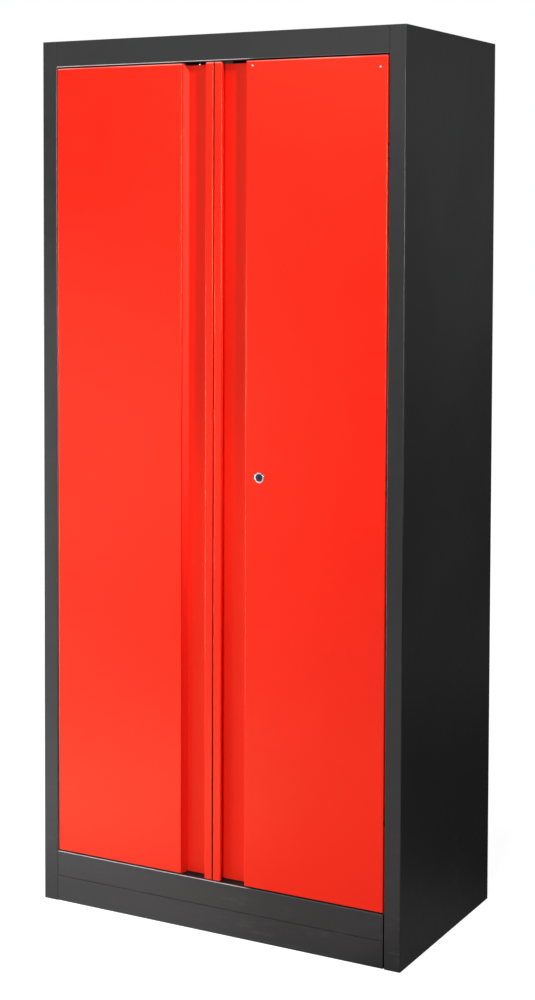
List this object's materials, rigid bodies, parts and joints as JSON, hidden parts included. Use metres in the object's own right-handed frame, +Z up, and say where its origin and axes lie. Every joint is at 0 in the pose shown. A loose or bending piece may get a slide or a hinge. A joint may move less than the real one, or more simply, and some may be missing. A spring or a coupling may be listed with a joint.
{
  "type": "tall tool cabinet",
  "caption": "Tall free-standing steel tool cabinet with two inset hinged doors, full-height finger channels, a keyed rod lock and shelves.",
  "frame": {"origin": "on the floor, at the centre of the bounding box's bottom face", "axes": "+X to the right of someone facing the doors, +Y from the doors towards the back, +Z up"},
  "size_m": [0.915, 0.503, 2],
  "materials": {
    "door_red": "semi-gloss red powder coat",
    "carcass_anthracite": "fine satin anthracite powder coat",
    "lock_chrome": "bright chrome",
    "zinc_plate": "zinc plated steel",
    "catch_plastic": "black moulded plastic"
  },
  "bodies": {
    "carcass": {"left_side_panel": "carcass_anthracite", "right_side_panel": "carcass_anthracite", "back_panel": "carcass_anthracite", "top_panel": "carcass_anthracite", "floor_panel": "carcass_anthracite", "top_rail": "carcass_anthracite", "bottom_rail": "carcass_anthracite", "plinth": "carcass_anthracite", "front_left_upright": "carcass_anthracite", "front_right_upright": "carcass_anthracite", "rear_left_upright": "carcass_anthracite", "rear_right_upright": "carcass_anthracite", "shelf_1": "carcass_anthracite", "shelf_2": "carcass_anthracite", "shelf_3": "carcass_anthracite", "shelf_4": "carcass_anthracite", "shelf_clips": "zinc_plate", "hinge_screws": "zinc_plate", "left_magnetic_catch": "catch_plastic", "right_magnetic_catch": "catch_plastic", "catch_screws": "zinc_plate", "left_swan_neck_1": "zinc_plate", "left_swan_neck_2": "zinc_plate", "left_swan_neck_3": "zinc_plate", "right_swan_neck_1": "zinc_plate", "right_swan_neck_2": "zinc_plate", "right_swan_neck_3": "zinc_plate"},
    "left_door": {"left_door_skin": "door_red", "left_door_stiffener": "door_red", "left_door_ears_1": "zinc_plate", "left_door_ears_2": "zinc_plate", "left_door_ears_3": "zinc_plate", "left_hinge_pin_1": "zinc_plate", "left_hinge_pin_2": "zinc_plate", "left_hinge_pin_3": "zinc_plate", "upper_bolt_bracket": "zinc_plate", "lower_bolt_bracket": "zinc_plate"},
    "right_door": {"right_door_skin": "door_red", "right_door_stiffener": "door_red", "right_door_ears_1": "zinc_plate", "right_door_ears_2": "zinc_plate", "right_door_ears_3": "zinc_plate", "right_hinge_pin_1": "zinc_plate", "right_hinge_pin_2": "zinc_plate", "right_hinge_pin_3": "zinc_plate", "lock_housing": "lock_chrome", "lock_nut": "zinc_plate", "rod_guides": "zinc_plate"},
    "lock_barrel": {"lock_plug": "lock_chrome", "crank_plate": "zinc_plate", "crank_screw": "zinc_plate"},
    "upper_rod": {"upper_lock_rod": "zinc_plate"},
    "lower_rod": {"lower_lock_rod": "zinc_plate"},
    "upper_bolt": {"upper_slide_bolt": "zinc_plate"},
    "lower_bolt": {"lower_slide_bolt": "zinc_plate"}
  },
  "joints": [
    {"name": "left_door_hinge", "type": "hinge", "parent": "carcass", "child": "left_door", "pos_m": [-0.3965, -0.2385, 1.0295], "axis": [0, 0, -1], "range_deg": [0, 100]},
    {"name": "right_door_hinge", "type": "hinge", "parent": "carcass", "child": "right_door", "pos_m": [0.3965, -0.2385, 1.0295], "axis": [0, 0, 1], "range_deg": [0, 100]},
    {"name": "lock_turn", "type": "hinge", "parent": "right_door", "child": "lock_barrel", "pos_m": [0.115, -0.2485, 1.032], "axis": [0, 1, 0], "range_deg": [0, 90]},
    {"name": "upper_rod_slide", "type": "slide", "parent": "right_door", "child": "upper_rod", "axis": [0, 0, 1], "range_m": [0, 0.02121]},
    {"name": "lower_rod_slide", "type": "slide", "parent": "right_door", "child": "lower_rod", "axis": [0, 0, -1], "range_m": [0, 0.02121]},
    {"name": "upper_bolt_slide", "type": "slide", "parent": "left_door", "child": "upper_bolt", "axis": [0, 0, 1], "range_m": [0, 0.02]},
    {"name": "lower_bolt_slide", "type": "slide", "parent": "left_door", "child": "lower_bolt", "axis": [0, 0, -1], "range_m": [0, 0.02]}
  ],
  "couplings": [
    {"joint": "lock_turn", "follows": "upper_rod_slide", "rad_per_m": 74.048},
    {"joint": "lower_rod_slide", "follows": "upper_rod_slide", "ratio": 1}
  ]
}
